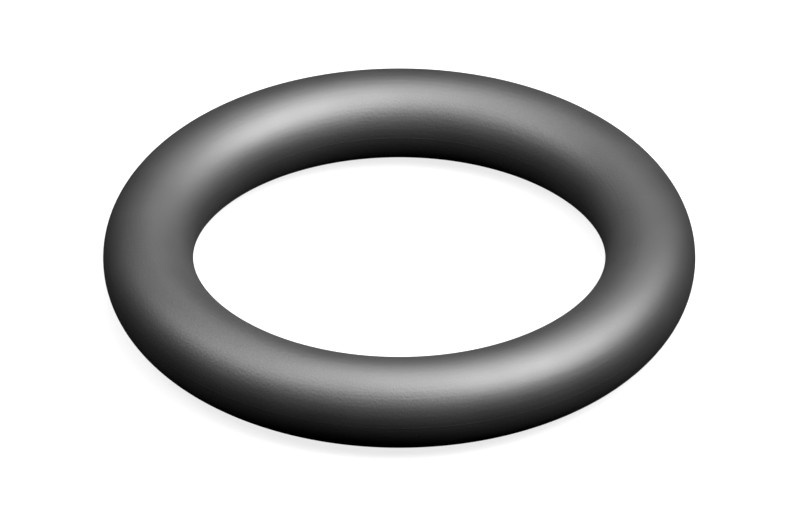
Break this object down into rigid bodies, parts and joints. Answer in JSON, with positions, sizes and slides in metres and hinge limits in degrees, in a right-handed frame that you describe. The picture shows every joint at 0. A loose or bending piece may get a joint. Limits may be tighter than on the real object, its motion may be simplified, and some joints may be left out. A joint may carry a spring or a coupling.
{
  "type": "o-ring",
  "caption": "Endless rubber ring of round section, pressed into a groove to seal a joint against liquid or gas.",
  "frame": {"origin": "centre of the ring, on its axis and halfway up the cord", "axes": "+Z along the ring's axis, which is its axis of symmetry; X and Y lie in the plane through the middle of the cord; every direction round Z is alike"},
  "size_m": [0.023, 0.023, 0.0034],
  "materials": {
    "nitrile_rubber": "satin"
  },
  "bodies": {
    "root": {"o_ring": "nitrile_rubber"}
  },
  "joints": []
}
